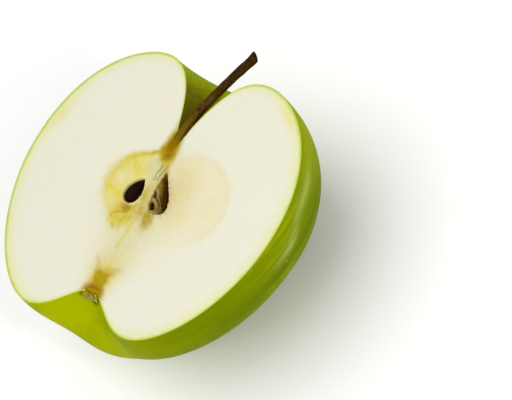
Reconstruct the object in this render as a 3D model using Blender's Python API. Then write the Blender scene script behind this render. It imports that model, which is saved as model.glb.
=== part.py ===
# Half of a large green apple, cut lengthwise through its core and lying on its round back.
# Metres. The cut face is level and looks up (+Z), +Y runs along the core to the stem and +X
# points to the right lobe. The origin is the middle of the small flat spot it rests on.

import math

import bmesh
import bpy
import numpy as np
from mathutils import Matrix
from mathutils import Vector

# Where the cut face lies above the flat spot, and where the flat spot's middle lies on it
FACE_HEIGHT = 0.0388
FLAT_MIDDLE_X = -0.0007
FLAT_MIDDLE_Y = 0.0118

# Section of each lobe: greatest radius, reach above and below its middle, the middle's place
# along the core, how much fuller it is near the stem, and how square its shoulders are
RIGHT_LOBE = {"radius": 0.0393, "up": 0.0388, "down": 0.039, "middle": 0.0064, "skew": 0.074, "square": 0.842}
LEFT_LOBE = {"radius": 0.0404, "up": 0.0411, "down": 0.0373, "middle": 0.0036, "skew": 0.105, "square": 0.811}

# The two dimples, each with its floor on the core, its width and how flat its floor is
STEM_FLOOR = 0.0176
STEM_WIDTH = 0.0059
STEM_FLATNESS = 1.0
CALYX_FLOOR = -0.0208
CALYX_WIDTH = 0.0108
CALYX_FLATNESS = 1.78

# The back against the two lobes: its radius, how that leans to the stem, its reach at the calyx
BACK_FULLNESS = -0.018
BACK_LEAN = 0.09
BACK_DROOP = 0.16

# Five soft ribs round the calyx
RIB_COUNT = 5
RIB_TURN = math.radians(94)
RIB_SWELL = 0.008
RIB_DROP = 0.015

# Fineness of the skin: columns from lobe to lobe round the back, rings from stem to calyx
SKIN_COLUMNS = 60
SKIN_RINGS = 50

# Gap left between pieces that touch
GAP = 0.0003

# Stem: a thick straight foot in the core, sliced level with the face, then a lean to the right
STEM_FOOT = (-0.00075, 0.0158)
STEM_BEND = 0.0275
STEM_END = 0.0478
STEM_LEAN = 0.44
STEM_BEND_SOFTNESS = 0.0035
STEM_SINK_FOOT = -0.0010
STEM_SINK_END = -0.0004
STEM_FOOT_RADIUS = 0.0015
STEM_NECK_RADIUS = 0.00093
STEM_END_RADIUS = 0.0012
STEM_FLARE_SHARE = 0.35
STEM_SWELL_POWER = 1.6
STEM_CUT_LENGTH = 0.0295
STEM_SIDES = 14
STEM_STEPS = 30
STEM_END_SLANT = 0.0010

# Pips: length, width and thickness, where the blunt end and the point lie on the face, and how
# deep each of those ends lies under it
LEFT_SEED = {"length": 0.0071, "width": 0.0047, "thick": 0.0027}
LEFT_SEED_BLUNT = (-0.0049, 0.0025)
LEFT_SEED_POINT = (-0.0031, 0.0094)
LEFT_SEED_DEPTH = (0.0009, 0.0009)
RIGHT_SEED = {"length": 0.0100, "width": 0.0037, "thick": 0.0019}
RIGHT_SEED_BLUNT = (0.0070, 0.0029)
RIGHT_SEED_POINT = (0.0023, 0.0123)
RIGHT_SEED_DEPTH = (0.0027, 0.0008)
SEED_TAPER = 0.75
SEED_SIDES = 14
SEED_RINGS = 12

# The open seed chamber beside the core
CHAMBER = {"length": 0.0114, "width": 0.0060, "thick": 0.0080}
CHAMBER_BLUNT = (0.0056, 0.0020)
CHAMBER_POINT = (0.0021, 0.0128)
CHAMBER_DEPTH = (0.0, 0.0)

# Calyx: the dried flower end in a small round eye, with three short leaves left behind the cut
EYE_RADIUS = 0.0034
EYE_DEPTH = 0.0011
CALYX_DISC_RADIUS = 0.0029
CALYX_DISC_HEIGHT = 0.0013
SEPAL_LENGTH = 0.0034
SEPAL_WIDTH = 0.0022
SEPAL_THICKNESS = 0.00045
SEPAL_SPREAD = 0.0010
SEPAL_CUP = 0.35
SEPAL_TIP_SHARE = 0.08
SEPAL_STEPS = 6
SEPAL_TURNS = (-28.0, -88.0, -151.0)
CALYX_SIDES = 28
KNIFE_GAP = 0.00005

FLESH_COLOUR = (0.84, 0.83, 0.66, 1.0)
SKIN_COLOUR = (0.27, 0.38, 0.015, 1.0)
STEM_COLOUR = (0.085, 0.045, 0.012, 1.0)
SEED_COLOUR = (0.028, 0.009, 0.006, 1.0)
CALYX_COLOUR = (0.22, 0.13, 0.05, 1.0)


def clear_scene():
    for obj in list(bpy.data.objects):
        bpy.data.objects.remove(obj, do_unlink=True)


def make_material(name, colour, roughness):
    material = bpy.data.materials.new(name)
    material.use_nodes = True
    shader = material.node_tree.nodes["Principled BSDF"]
    shader.inputs["Base Color"].default_value = colour
    shader.inputs["Roughness"].default_value = roughness
    shader.inputs["Metallic"].default_value = 0.0
    return material


def add_object(name, bm, materials):
    # Every mesh here is worked out from the middle of the cut face, then moved onto the flat spot
    place = Vector((-FLAT_MIDDLE_X, -FLAT_MIDDLE_Y, FACE_HEIGHT))
    bmesh.ops.translate(bm, verts=bm.verts, vec=place)
    bmesh.ops.recalc_face_normals(bm, faces=bm.faces)
    mesh = bpy.data.meshes.new(name)
    bm.to_mesh(mesh)
    bm.free()
    for material in materials:
        mesh.materials.append(material)
    mesh.shade_smooth()
    mesh.set_sharp_from_angle(angle=math.radians(50))
    obj = bpy.data.objects.new(name, mesh)
    bpy.context.scene.collection.objects.link(obj)
    return obj


def make_cutter(name, bm):
    cutter = add_object(name, bm, [])
    cutter.hide_render = True
    cutter.display_type = "WIRE"
    return cutter


def combine(target, other, operation):
    modifier = target.modifiers.new(other.name, "BOOLEAN")
    modifier.operation = operation
    modifier.solver = "EXACT"
    modifier.object = other


def skin_surface(turn, along):
    # turn runs from 0 at the right lobe's edge, round the back, to pi at the left lobe's edge.
    # along runs from 0 at the stem's dimple to pi at the calyx.
    # radius = widest * sin(along)^square, fuller near the stem, with a rib term near the calyx.
    # height = middle + reach * cos(along), with a dimple that fades as the radius grows.
    to_left = (1 - np.cos(turn)) / 2
    lobe = {key: RIGHT_LOBE[key] * (1 - to_left) + LEFT_LOBE[key] * to_left for key in RIGHT_LOBE}
    rise = np.cos(along)
    ring = np.clip(np.sin(along), 0, None)
    back = np.sin(turn)
    rib = np.cos(RIB_COUNT * (turn - RIB_TURN))
    radius = lobe["radius"] * ring ** lobe["square"] * (1 + lobe["skew"] * rise)
    radius = radius * (1 + (BACK_FULLNESS + BACK_LEAN * rise) * back + RIB_SWELL * rib * (1 - rise))
    up = lobe["up"] * rise
    down = lobe["down"] * rise * (1 + (RIB_DROP * rib + BACK_DROOP * back) * ring)
    stem_dimple = (lobe["middle"] + lobe["up"] - STEM_FLOOR) * np.exp(-(radius / STEM_WIDTH) ** STEM_FLATNESS)
    calyx_dimple = CALYX_FLOOR - lobe["middle"] + lobe["down"]
    calyx_dimple = calyx_dimple * np.exp(-(radius / CALYX_WIDTH) ** CALYX_FLATNESS)
    height = lobe["middle"] + np.where(rise > 0, up - stem_dimple, down + calyx_dimple)
    return radius * np.cos(turn), height, -radius * np.sin(turn)


def make_apple_mesh():
    # A net of skin from lobe to lobe, closed by the flat cut face
    step = np.linspace(0, 1, SKIN_RINGS + 1)[1:-1]
    along = math.pi * step * step * (3 - 2 * step)
    turn = np.linspace(0, math.pi, SKIN_COLUMNS + 1)
    x, y, z = skin_surface(turn[:, None], along[None, :])
    z[0] = 0.0
    z[-1] = 0.0
    bm = bmesh.new()
    stem_pole = bm.verts.new((0, STEM_FLOOR, 0))
    calyx_pole = bm.verts.new((0, CALYX_FLOOR, 0))
    columns = []
    for i in range(len(turn)):
        columns.append([bm.verts.new((x[i, j], y[i, j], z[i, j])) for j in range(len(along))])
    for here, there in zip(columns[:-1], columns[1:]):
        bm.faces.new((stem_pole, here[0], there[0]))
        bm.faces.new((calyx_pole, there[-1], here[-1]))
        for j in range(len(along) - 1):
            bm.faces.new((here[j], here[j + 1], there[j + 1], there[j]))
    bm.faces.new([stem_pole] + columns[0] + [calyx_pole] + columns[-1][::-1])
    cut_flat_spot(bm)
    return bm


def cut_flat_spot(bm):
    everything = list(bm.verts) + list(bm.edges) + list(bm.faces)
    level = (0, 0, -FACE_HEIGHT)
    cut = bmesh.ops.bisect_plane(bm, geom=everything, plane_co=level, plane_no=(0, 0, -1), clear_outer=True)
    rim = [item for item in cut["geom_cut"] if isinstance(item, bmesh.types.BMEdge)]
    bmesh.ops.edgenet_fill(bm, edges=rim)
    for vert in bm.verts:
        if vert.co.z < -FACE_HEIGHT + 1e-7:
            vert.co.z = -FACE_HEIGHT


def drop_mesh(size, blunt, point, depth, upright, margin=0.0):
    # A pip's form: a half turn from the blunt end to the point, with half width
    # sin(turn) * cos(turn / 2)^taper, flattened to its thickness. It lies along the line from
    # blunt to point, each at its own depth, and upright stands it on its edge.
    length = size["length"] + 2 * margin
    half_width = size["width"] / 2 + margin
    half_thick = size["thick"] / 2 + margin
    turns = np.linspace(0, math.pi, SEED_RINGS + 1)[1:-1]
    fullest = max(np.sin(turns) * np.cos(turns / 2) ** SEED_TAPER)
    bm = bmesh.new()
    first = bm.verts.new((0, -length / 2, 0))
    last = bm.verts.new((0, length / 2, 0))
    rings = []
    for turn in turns:
        swell = math.sin(turn) * math.cos(turn / 2) ** SEED_TAPER / fullest
        ring = []
        for side in range(SEED_SIDES):
            angle = 2 * math.pi * side / SEED_SIDES
            across = half_width * swell * math.cos(angle)
            thick = half_thick * swell * math.sin(angle)
            ring.append(bm.verts.new((across, -length / 2 * math.cos(turn), thick)))
        rings.append(ring)
    close_rings(bm, rings, first, last)
    start = Vector((blunt[0], blunt[1], -depth[0]))
    end = Vector((point[0], point[1], -depth[1]))
    on_edge = Matrix.Rotation(math.pi / 2 if upright else 0.0, 4, "Y")
    turned = (end - start).to_track_quat("Y", "Z").to_matrix().to_4x4()
    bmesh.ops.transform(bm, matrix=Matrix.Translation((start + end) / 2) @ turned @ on_edge, verts=bm.verts)
    return bm


def close_rings(bm, rings, first, last):
    count = len(rings[0])
    for side in range(count):
        after = (side + 1) % count
        bm.faces.new((first, rings[0][after], rings[0][side]))
        bm.faces.new((last, rings[-1][side], rings[-1][after]))
        for ring, following in zip(rings[:-1], rings[1:]):
            bm.faces.new((ring[side], ring[after], following[after], following[side]))


def stem_centre(y):
    # Straight over the core, then leaning right past the bend, eased like a soft ramp
    past = (y - STEM_BEND) / STEM_BEND_SOFTNESS
    lean = STEM_LEAN * STEM_BEND_SOFTNESS * np.logaddexp(0, past)
    share = (y - STEM_FOOT[1]) / (STEM_END - STEM_FOOT[1])
    sink = STEM_SINK_FOOT + (STEM_SINK_END - STEM_SINK_FOOT) * share
    return Vector((STEM_FOOT[0] + lean, y, sink))


def stem_radius(y):
    # A flared foot, a thin neck and a slightly thicker far end
    share = (y - STEM_FOOT[1]) / (STEM_END - STEM_FOOT[1])
    flare = (STEM_FOOT_RADIUS - STEM_NECK_RADIUS) * math.exp(-(share / STEM_FLARE_SHARE) ** 2)
    thicker = (STEM_END_RADIUS - STEM_NECK_RADIUS) * max(share, 0.0) ** STEM_SWELL_POWER
    return STEM_NECK_RADIUS + flare + thicker


def stem_mesh(margin=0.0):
    # Rings square to the stem's middle line; the last one is slanted like a broken end
    bm = bmesh.new()
    heights = np.linspace(STEM_FOOT[1] - margin, STEM_END, STEM_STEPS + 1)
    rings = []
    for number, y in enumerate(heights):
        ahead = (stem_centre(y + 1e-4) - stem_centre(y - 1e-4)).normalized()
        side = Vector((ahead.y, -ahead.x, 0)).normalized()
        top = side.cross(ahead).normalized()
        radius = stem_radius(y) + margin
        slant = STEM_END_SLANT if number == STEM_STEPS else 0.0
        ring = []
        for step in range(STEM_SIDES):
            angle = 2 * math.pi * step / STEM_SIDES
            out = side * math.cos(angle) + top * math.sin(angle)
            place = stem_centre(y) + out * radius - ahead * slant * math.cos(angle)
            ring.append(bm.verts.new(place))
        rings.append(ring)
    for ring, following in zip(rings[:-1], rings[1:]):
        for step in range(STEM_SIDES):
            after = (step + 1) % STEM_SIDES
            bm.faces.new((ring[step], ring[after], following[after], following[step]))
    bm.faces.new(rings[0][::-1])
    bm.faces.new(rings[-1])
    return bm


def box_mesh(low, high):
    middle = [(a + b) / 2 for a, b in zip(low, high)]
    size = [b - a for a, b in zip(low, high)]
    bm = bmesh.new()
    place = Matrix.Translation(middle) @ Matrix.Diagonal((*size, 1.0))
    bmesh.ops.create_cube(bm, size=1.0, matrix=place)
    return bm


def disc_mesh(radius, top, bottom):
    # A short round plug whose axis is the core
    bm = bmesh.new()
    place = Matrix.Translation((0, (top + bottom) / 2, 0)) @ Matrix.Rotation(math.pi / 2, 4, "X")
    size = {"segments": CALYX_SIDES, "radius1": radius, "radius2": radius, "depth": top - bottom}
    bmesh.ops.create_cone(bm, cap_ends=True, matrix=place, **size)
    return bm


def sepal_mesh(turn):
    # A dry leaf: a tongue that narrows to a point, leans outward and curls at its tip
    bm = bmesh.new()
    spine = Vector((math.cos(turn), 0, math.sin(turn)))
    across = Vector((-math.sin(turn), 0, math.cos(turn)))
    start = CALYX_DISC_RADIUS - SEPAL_THICKNESS * 1.6
    top = CALYX_FLOOR + EYE_DEPTH - GAP - CALYX_DISC_HEIGHT / 2
    rings = []
    for step in range(SEPAL_STEPS + 1):
        share = step / SEPAL_STEPS
        out = start + SEPAL_SPREAD * math.sin(share * math.pi * 0.75)
        half = SEPAL_WIDTH / 2 * (1 - share ** 2) + SEPAL_WIDTH * SEPAL_TIP_SHARE
        thick = SEPAL_THICKNESS * (1 - 0.4 * share)
        middle = spine * out + Vector((0, top - SEPAL_LENGTH * share, 0))
        cup = spine * (half * SEPAL_CUP)
        ring = [
            middle - across * half - cup - spine * thick / 2,
            middle - spine * thick / 2,
            middle + across * half - cup - spine * thick / 2,
            middle + across * half - cup + spine * thick / 2,
            middle + spine * thick / 2,
            middle - across * half - cup + spine * thick / 2,
        ]
        rings.append([bm.verts.new(corner) for corner in ring])
    for ring, following in zip(rings[:-1], rings[1:]):
        for side in range(len(ring)):
            after = (side + 1) % len(ring)
            bm.faces.new((ring[side], ring[after], following[after], following[side]))
    bm.faces.new(rings[0][::-1])
    bm.faces.new(rings[-1])
    return bm


def make_stem(material):
    stem = add_object("stem", stem_mesh(), [material])
    reach = STEM_END_RADIUS * 3
    knife = box_mesh((-reach, STEM_FOOT[1] - reach, 0), (reach, STEM_CUT_LENGTH, reach))
    combine(stem, make_cutter("knife_over_stem_foot", knife), "DIFFERENCE")
    return stem


def make_seed(name, size, blunt, point, depth, upright, material):
    return add_object(name, drop_mesh(size, blunt, point, depth, upright), [material])


def make_calyx(material):
    top = CALYX_FLOOR + EYE_DEPTH - GAP
    calyx = add_object("calyx", disc_mesh(CALYX_DISC_RADIUS, top, top - CALYX_DISC_HEIGHT), [material])
    leaves = bpy.data.collections.new("calyx_leaves")
    for number, turn in enumerate(SEPAL_TURNS):
        leaf = make_cutter("calyx_leaf_%d" % (number + 1), sepal_mesh(math.radians(turn)))
        bpy.context.scene.collection.objects.unlink(leaf)
        leaves.objects.link(leaf)
    bpy.context.scene.collection.children.link(leaves)
    modifier = calyx.modifiers.new("leaves", "BOOLEAN")
    modifier.operation = "UNION"
    modifier.solver = "EXACT"
    modifier.operand_type = "COLLECTION"
    modifier.collection = leaves
    reach = EYE_RADIUS * 3
    knife = box_mesh((-reach, CALYX_FLOOR - reach, -KNIFE_GAP), (reach, CALYX_FLOOR + reach, reach))
    combine(calyx, make_cutter("knife_over_calyx", knife), "DIFFERENCE")
    return calyx


def make_apple_half(flesh, skin):
    apple = add_object("apple_half", make_apple_mesh(), [flesh, skin])
    for face in apple.data.polygons:
        face.material_index = 0 if face.normal.z > 0.99 else 1
    chamber = drop_mesh(CHAMBER, CHAMBER_BLUNT, CHAMBER_POINT, CHAMBER_DEPTH, False)
    left = drop_mesh(LEFT_SEED, LEFT_SEED_BLUNT, LEFT_SEED_POINT, LEFT_SEED_DEPTH, False, GAP)
    right = drop_mesh(RIGHT_SEED, RIGHT_SEED_BLUNT, RIGHT_SEED_POINT, RIGHT_SEED_DEPTH, True, GAP)
    eye = disc_mesh(EYE_RADIUS, CALYX_FLOOR + EYE_DEPTH, CALYX_FLOOR - EYE_RADIUS * 2)
    combine(apple, make_cutter("seed_chamber", chamber), "DIFFERENCE")
    combine(apple, make_cutter("left_seed_bed", left), "DIFFERENCE")
    combine(apple, make_cutter("right_seed_bed", right), "DIFFERENCE")
    combine(apple, make_cutter("stem_socket", stem_mesh(margin=GAP)), "DIFFERENCE")
    combine(apple, make_cutter("calyx_eye", eye), "DIFFERENCE")
    return apple


def main():
    clear_scene()
    flesh = make_material("apple_flesh", FLESH_COLOUR, 0.45)
    skin = make_material("apple_skin", SKIN_COLOUR, 0.3)
    stem = make_material("stem", STEM_COLOUR, 0.7)
    seed = make_material("seed", SEED_COLOUR, 0.25)
    calyx = make_material("calyx", CALYX_COLOUR, 0.8)
    make_apple_half(flesh, skin)
    make_stem(stem)
    make_seed("seed_left", LEFT_SEED, LEFT_SEED_BLUNT, LEFT_SEED_POINT, LEFT_SEED_DEPTH, False, seed)
    make_seed("seed_right", RIGHT_SEED, RIGHT_SEED_BLUNT, RIGHT_SEED_POINT, RIGHT_SEED_DEPTH, True, seed)
    make_calyx(calyx)


main()
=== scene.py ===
# Half a green apple, lying on its back with the cut face up.
# Lengths below are millimetres on the cut face: x to the right lobe, y along the core to the
# stem, z up out of the face. toFrame turns them into metres in the part's own frame.
import math
import bmesh
import bpy
import numpy as np
from mathutils import Matrix, Vector


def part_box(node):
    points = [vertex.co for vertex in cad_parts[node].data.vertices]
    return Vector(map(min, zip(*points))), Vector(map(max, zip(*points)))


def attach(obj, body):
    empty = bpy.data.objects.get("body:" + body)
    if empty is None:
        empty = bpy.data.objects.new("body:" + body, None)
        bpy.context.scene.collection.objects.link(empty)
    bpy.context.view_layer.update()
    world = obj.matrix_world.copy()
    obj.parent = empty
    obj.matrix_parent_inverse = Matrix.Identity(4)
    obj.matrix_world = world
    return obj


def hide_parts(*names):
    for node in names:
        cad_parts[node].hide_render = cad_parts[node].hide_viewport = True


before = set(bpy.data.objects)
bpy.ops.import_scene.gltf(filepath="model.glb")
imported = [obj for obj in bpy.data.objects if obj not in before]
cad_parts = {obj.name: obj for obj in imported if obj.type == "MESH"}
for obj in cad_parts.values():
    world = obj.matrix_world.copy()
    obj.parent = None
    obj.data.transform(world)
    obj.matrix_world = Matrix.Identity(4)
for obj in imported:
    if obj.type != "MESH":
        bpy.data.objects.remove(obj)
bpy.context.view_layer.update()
print("frame loaded:", ", ".join(sorted(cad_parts)))

faceMiddle = np.array([0.0007, -0.0118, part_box("apple_half")[1].z])
flatLevel = -faceMiddle[2] * 1000     # how far the resting spot lies under the cut face, mm

# the fruit's own form, the same sizes as its solids
fruit = {
    "rightLobe": {"radius": 39.3, "up": 38.8, "down": 39.0, "middle": 6.4, "skew": 0.074, "square": 0.842},
    "leftLobe": {"radius": 40.4, "up": 41.1, "down": 37.3, "middle": 3.6, "skew": 0.105, "square": 0.811},
    "stemFloor": 17.6, "stemWidth": 5.9, "stemFlat": 1.0,
    "calyxFloor": -20.8, "calyxWidth": 10.8, "calyxFlat": 1.78,
    "backFull": -0.018, "backLean": 0.09, "backDroop": 0.16,
    "ribs": 5, "ribTurn": math.radians(94), "ribSwell": 0.008, "ribDrop": 0.015,
    "waviness": 0.0025, "waveLength": 26,      # slow unevenness of the skin, as a share of its radius
}


def toFrame(points):
    # face millimetres to metres in the part's frame
    return points * 0.001 + faceMiddle


def unit(vectors):
    # each vector divided by its own length
    return vectors / np.linalg.norm(vectors, axis=-1, keepdims=True)


def smooth(low, high, value):
    # 3t^2 - 2t^3 between low and high
    t = np.clip((value - low) / (high - low), 0, 1)
    return t * t * (3 - 2 * t)


def waves(seed, scale, *axes):
    # noise as a mean of 14 sines in seeded directions, wavelengths from 0.6 to 2 times scale
    rng = np.random.default_rng(seed)
    total = 0
    for _ in range(14):
        way = rng.normal(size=len(axes))
        way /= np.linalg.norm(way)
        length = scale * rng.uniform(0.6, 2.0)
        phase = rng.uniform(0, 2 * math.pi)
        total = total + np.sin(sum(w * a for w, a in zip(way, axes)) * 2 * math.pi / length + phase)
    return total / 14 * 1.9


def curveThrough(points, count):
    # a smooth line through a few points: Catmull-Rom, even in its parameter
    p = np.array(points, float)
    p = np.vstack([2 * p[0] - p[1], p, 2 * p[-1] - p[-2]])
    u = np.linspace(0, len(p) - 3 - 1e-9, count)
    i = u.astype(int)
    t = (u - i)[:, None]
    a, b, c, d = p[i], p[i + 1], p[i + 2], p[i + 3]
    square, cube = 2 * a - 5 * b + 4 * c - d, 3 * b - a - 3 * c + d
    return 0.5 * (2 * b + (c - a) * t + square * t ** 2 + cube * t ** 3)


def lineDistance(x, y, line):
    # shortest distance from each point to the stretches of a line, and how far along it that is
    best, share = np.full(x.shape, 1e9), np.zeros(x.shape)
    for i, ((ax, ay), (bx, by)) in enumerate(zip(line[:-1], line[1:])):
        dx, dy = bx - ax, by - ay
        t = np.clip(((x - ax) * dx + (y - ay) * dy) / (dx * dx + dy * dy), 0, 1)
        here = np.hypot(x - ax - t * dx, y - ay - t * dy)
        share = np.where(here < best, (i + t) / (len(line) - 1), share)
        best = np.minimum(best, here)
    return best, share


def stroke(x, y, points, wide, narrow, count=24):
    # a painted line, 1 in its middle, that narrows from its first point to its last
    away, share = lineDistance(x, y, curveThrough(points, count))
    return np.exp(-(away / (wide + (narrow - wide) * share)) ** 2)


def turned(x, y, middleX, middleY, lean):
    # a place measured from a middle, along axes that are turned by lean degrees
    c, s = math.cos(math.radians(lean)), math.sin(math.radians(lean))
    return (x - middleX) * c + (y - middleY) * s, (y - middleY) * c - (x - middleX) * s


def spot(x, y, middleX, middleY, reachX, reachY, lean=0.0):
    # a soft oval spot, exp(-distance^2) in its own half sizes
    across, along = turned(x, y, middleX, middleY, lean)
    return np.exp(-(across / reachX) ** 2 - (along / reachY) ** 2)


def insideOf(x, y, outline):
    # distance inside a closed outline: positive within, negative outside, by counting crossings
    away, _ = lineDistance(x, y, outline)
    within = np.zeros(x.shape, bool)
    for (ax, ay), (bx, by) in zip(outline[:-1], outline[1:]):
        crosses = (ay > y) != (by > y)
        within ^= crosses & (x < ax + (y - ay) * (bx - ax) / (by - ay if by != ay else 1e-9))
    return np.where(within, away, -away)


def addField(mesh, name, values):
    # one number a vertex, which a finish can read
    layer = mesh.attributes.new(name, "FLOAT", "POINT")
    layer.data.foreach_set("value", np.asarray(values, np.float32).ravel())


def newMesh(name, points, faces, material, fields=None):
    # points in face millimetres; fields are named arrays of one number a vertex
    mesh = bpy.data.meshes.new(name)
    mesh.from_pydata(toFrame(points), [], faces)
    for key, values in (fields or {}).items():
        addField(mesh, key, values)
    mesh.materials.append(material)
    mesh.shade_smooth()
    obj = bpy.data.objects.new(name, mesh)
    bpy.context.scene.collection.objects.link(obj)
    return obj


def facePoints(obj):
    # a mesh's vertices in face millimetres
    co = np.zeros(len(obj.data.vertices) * 3)
    obj.data.vertices.foreach_get("co", co)
    return (co.reshape(-1, 3) - faceMiddle) * 1000


def setFacePoints(obj, points):
    obj.data.vertices.foreach_set("co", toFrame(points).ravel())
    obj.data.update()


mergeReach = 4e-8      # metres; far under the finest grid step, so only true doubles merge


def closeMesh(obj):
    # merges seams and poles, drops faces without area, and turns faces outward
    bm = bmesh.new()
    bm.from_mesh(obj.data)
    bmesh.ops.remove_doubles(bm, verts=bm.verts, dist=mergeReach)
    bmesh.ops.dissolve_degenerate(bm, edges=bm.edges, dist=mergeReach / 4)
    bmesh.ops.recalc_face_normals(bm, faces=bm.faces)
    bm.to_mesh(obj.data)
    bm.free()
    obj.data.shade_smooth()
    return obj


def gridFaces(rows, columns, closed=False):
    # quads of a grid numbered row by row; closed joins the last column to the first
    r = np.arange(rows - 1)[:, None] * columns
    c = np.arange(columns if closed else columns - 1)[None, :]
    after = (c + 1) % columns
    quads = np.stack([r + c, r + after, r + columns + after, r + columns + c], -1)
    return quads.reshape(-1, 4).tolist()


def endFans(rows, sides):
    # triangles from the first and the last ring of a tube to one more vertex at each end
    first, last, end = rows * sides, rows * sides + 1, (rows - 1) * sides
    pairs = [(i, (i + 1) % sides) for i in range(sides)]
    return [(first, b, a) for a, b in pairs] + [(last, end + a, end + b) for a, b in pairs]


def tube(name, centre, radii, sides, material, shape):
    # rings carried along a path: centre + radius * (across cos a + up sin a), where across lies
    # flat and shape gives the radius its relief; closed by a point at each end
    rows = len(radii)
    ahead = unit(np.gradient(centre, axis=0))
    across = unit(np.cross(ahead, (0.0, 0.0, 1.0)))
    up = np.cross(across, ahead)
    angle = np.linspace(0, 2 * math.pi, sides, endpoint=False)
    radius = radii[:, None] * shape(np.arange(rows)[:, None] / (rows - 1), angle[None, :])
    ring = across[:, None] * np.cos(angle)[None, :, None] + up[:, None] * np.sin(angle)[None, :, None]
    points = (centre[:, None, :] + ring * radius[..., None]).reshape(-1, 3)
    points = np.vstack([points, centre[:1], centre[-1:]])
    faces = gridFaces(rows, sides, closed=True) + endFans(rows, sides)
    along = np.concatenate([np.repeat(np.linspace(0, 1, rows), sides), [0, 1]])
    return newMesh(name, points, faces, material, {"along": along})


# the skin's form

def skinPoint(turn, along):
    # turn goes 0 to pi from the right lobe's rim round the back to the left one's, along goes
    # 0 to pi from stem to calyx; radius = widest * sin(along)^square with lean and rib terms,
    # height = middle + reach * cos(along), less a dimple that fades with the radius
    f = fruit
    toLeft = (1 - np.cos(turn)) / 2
    right, left = f["rightLobe"], f["leftLobe"]
    lobe = {key: right[key] * (1 - toLeft) + left[key] * toLeft for key in right}
    rise, ring, back = np.cos(along), np.clip(np.sin(along), 0, None), np.sin(turn)
    rib = np.cos(f["ribs"] * (turn - f["ribTurn"]))
    radius = lobe["radius"] * ring ** lobe["square"] * (1 + lobe["skew"] * rise)
    fuller = (f["backFull"] + f["backLean"] * rise) * back
    radius = radius * (1 + fuller + f["ribSwell"] * rib * (1 - rise))
    down = lobe["down"] * rise * (1 + (f["ribDrop"] * rib + f["backDroop"] * back) * ring)
    stemDeep = lobe["middle"] + lobe["up"] - f["stemFloor"]
    calyxDeep = f["calyxFloor"] - lobe["middle"] + lobe["down"]
    stemDip = stemDeep * np.exp(-(radius / f["stemWidth"]) ** f["stemFlat"])
    calyxDip = calyxDeep * np.exp(-(radius / f["calyxWidth"]) ** f["calyxFlat"])
    y = lobe["middle"] + np.where(rise > 0, lobe["up"] * rise - stemDip, down + calyxDip)
    x, z = radius * np.cos(turn), -radius * back
    uneven = 1 + f["waviness"] * waves(3, f["waveLength"], x, y, z) * smooth(4, 12, radius)
    return np.stack(np.broadcast_arrays(x * uneven, y, z * uneven), -1)


def skinLayer(turn, along, depth):
    # the skin's surface moved inward along its own normal; rims stay in the cut plane
    step = 1e-4
    here = skinPoint(turn, along)
    before, after = np.clip(turn - step, 0, math.pi), np.clip(turn + step, 0, math.pi)
    byTurn = skinPoint(after, along) - skinPoint(before, along)
    before, after = np.clip(along - step, 0, math.pi), np.clip(along + step, 0, math.pi)
    byAlong = skinPoint(turn, after) - skinPoint(turn, before)
    normal = np.cross(byAlong, byTurn)
    normal[0, :, 2] = 0
    normal[-1, :, 2] = 0
    size = np.linalg.norm(normal, axis=-1, keepdims=True)
    normal = normal / np.maximum(size, 1e-30)
    normal[:, 0] = (0, 1, 0)       # the stem's dimple and the calyx end in a point on the core
    normal[:, -1] = (0, -1, 0)
    moved = here - normal * depth
    moved[..., 2] = np.maximum(moved[..., 2], flatLevel + depth)   # the small flat spot underneath
    moved[0, :, 2] = 0
    moved[-1, :, 2] = 0
    return moved


def alongSteps(count):
    # rings over the skin, closer together in the two dimples; a small even share of the spacing
    # keeps them apart at the very ends
    u = np.linspace(0, 1, count)
    evenShare = 0.12
    return math.pi * (evenShare * u + (1 - evenShare) * u * u * (3 - 2 * u))


skinWall = {
    "thick": 0.34, "proud": 0.05, "edgeInward": 0.55, "rings": 260, "columns": 150,
    # the edge dips out of sight under the sliced stem and the dried flower: how deep, how wide
    "stemDip": (0.9, 1.5), "calyxDip": (1.0, 2.5), "calyxMiddle": 0.4,
    # soft shadows either side of the dried flower: strength, middle, half sizes, lean
    "hollows": [(1.0, 2.8, -23.1, 1.0, 0.75, -20), (0.8, -2.4, -22.4, 0.6, 0.6)],
    "bandWidth": 0.015,
}


def seenAt(x, y, depth):
    # what lies deep shows further right and lower from the camera's side, by shares of its depth
    return x + chamber["seenRight"] * depth, y - chamber["seenDown"] * depth


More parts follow.
